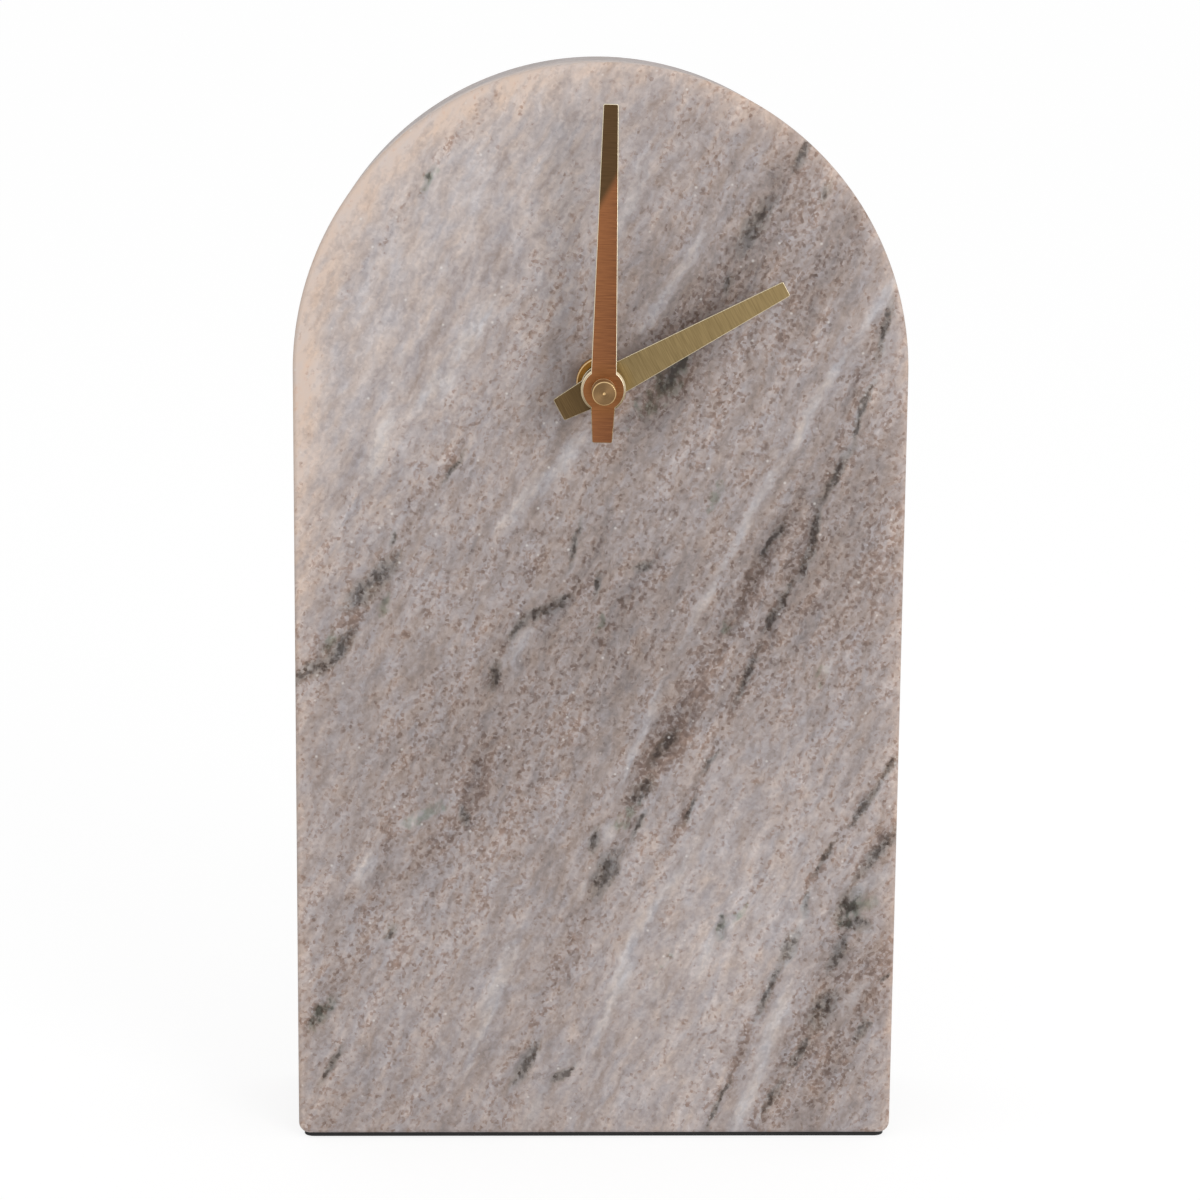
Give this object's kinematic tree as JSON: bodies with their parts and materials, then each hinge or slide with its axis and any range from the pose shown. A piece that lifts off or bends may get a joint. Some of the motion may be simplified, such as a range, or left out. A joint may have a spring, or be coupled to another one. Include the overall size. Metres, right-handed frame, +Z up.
{
  "type": "marble table clock",
  "caption": "Arched marble slab clock with brushed brass hour and minute hands, driven by a battery quartz movement set into a recess in its back.",
  "frame": {"origin": "centre of the flat face under the base pad, on which the clock stands", "axes": "+Z up, the clock faces -Y, +X to the right seen from the front"},
  "size_m": [0.12, 0.0598, 0.216],
  "materials": {
    "marble": "satin",
    "black_rubber": "matte",
    "brushed_brass": "satin",
    "turned_brass": "gloss",
    "nickel": "satin",
    "black_plastic": "satin",
    "white_plastic": "satin",
    "red_plastic": "satin",
    "soft_iron": "satin",
    "magnet": "matte",
    "copper_wire": "satin",
    "board": "satin",
    "resin": "gloss",
    "cell_jacket": "gloss"
  },
  "bodies": {
    "clock": {"marble_slab": "marble", "base_pad": "black_rubber", "fixing_nut": "turned_brass", "nut_washer": "turned_brass", "threaded_bushing": "nickel", "rubber_gasket": "black_rubber", "movement_front_case": "black_plastic", "movement_rear_cover": "black_plastic", "bearing_bridge": "white_plastic", "motor_stator": "soft_iron", "coil_core": "soft_iron", "coil_bobbin": "white_plastic", "coil_winding": "copper_wire", "motor_screw_left": "nickel", "motor_screw_right": "nickel", "circuit_board": "board", "chip_resin": "resin", "quartz_crystal": "nickel", "aa_cell": "cell_jacket", "positive_contact": "nickel", "negative_contact": "nickel"},
    "minute": {"minute_arbor": "turned_brass", "minute_hand": "brushed_brass", "minute_hand_bush": "turned_brass", "hand_cap": "turned_brass"},
    "hour": {"hour_wheel": "white_plastic", "hour_hand": "brushed_brass", "hour_hand_bush": "turned_brass"},
    "reversing": {"reversing_wheel": "red_plastic"},
    "setting": {"setting_stem": "red_plastic", "setting_knob": "black_plastic"},
    "seconds": {"seconds_wheel": "white_plastic"},
    "intermediate": {"intermediate_wheel": "white_plastic"},
    "rotor": {"rotor_pinion": "white_plastic", "rotor_magnet": "magnet"},
    "third": {"third_wheel": "white_plastic"},
    "centre": {"centre_wheel": "white_plastic"}
  },
  "joints": [
    {"name": "minute_turn", "type": "hinge", "parent": "clock", "child": "minute", "pos_m": [0, -0.0345, 0.1547], "axis": [0, 1, 0], "continuous": true},
    {"name": "hour_turn", "type": "hinge", "parent": "clock", "child": "hour", "pos_m": [0, -0.0289, 0.1547], "axis": [0, 1, 0], "continuous": true},
    {"name": "reversing_turn", "type": "hinge", "parent": "clock", "child": "reversing", "pos_m": [-0.00725, -0.005, 0.15132], "axis": [0, 1, 0], "continuous": true},
    {"name": "setting_turn", "type": "hinge", "parent": "clock", "child": "setting", "pos_m": [-0.01418, 0.009, 0.15532], "axis": [0, 1, 0], "continuous": true},
    {"name": "seconds_turn", "type": "hinge", "parent": "clock", "child": "seconds", "pos_m": [0, -0.0007, 0.1547], "axis": [0, 1, 0], "continuous": true},
    {"name": "intermediate_turn", "type": "hinge", "parent": "clock", "child": "intermediate", "pos_m": [-0.00146, 0.0007, 0.16296], "axis": [0, 1, 0], "continuous": true},
    {"name": "rotor_turn", "type": "hinge", "parent": "clock", "child": "rotor", "pos_m": [0.00184, 0.0027, 0.16866], "axis": [0, 1, 0], "continuous": true},
    {"name": "third_turn", "type": "hinge", "parent": "clock", "child": "third", "pos_m": [0.00813, -0.002, 0.15327], "axis": [0, 1, 0], "continuous": true},
    {"name": "centre_turn", "type": "hinge", "parent": "clock", "child": "centre", "pos_m": [0, -0.0032, 0.1547], "axis": [0, 1, 0], "continuous": true}
  ],
  "couplings": [
    {"joint": "hour_turn", "follows": "minute_turn", "ratio": 0.083333},
    {"joint": "reversing_turn", "follows": "minute_turn", "ratio": -0.33333},
    {"joint": "setting_turn", "follows": "minute_turn", "ratio": 1},
    {"joint": "intermediate_turn", "follows": "seconds_turn", "ratio": -4},
    {"joint": "rotor_turn", "follows": "seconds_turn", "ratio": 30},
    {"joint": "third_turn", "follows": "seconds_turn", "ratio": -0.13333},
    {"joint": "centre_turn", "follows": "seconds_turn", "ratio": 0.016667}
  ]
}
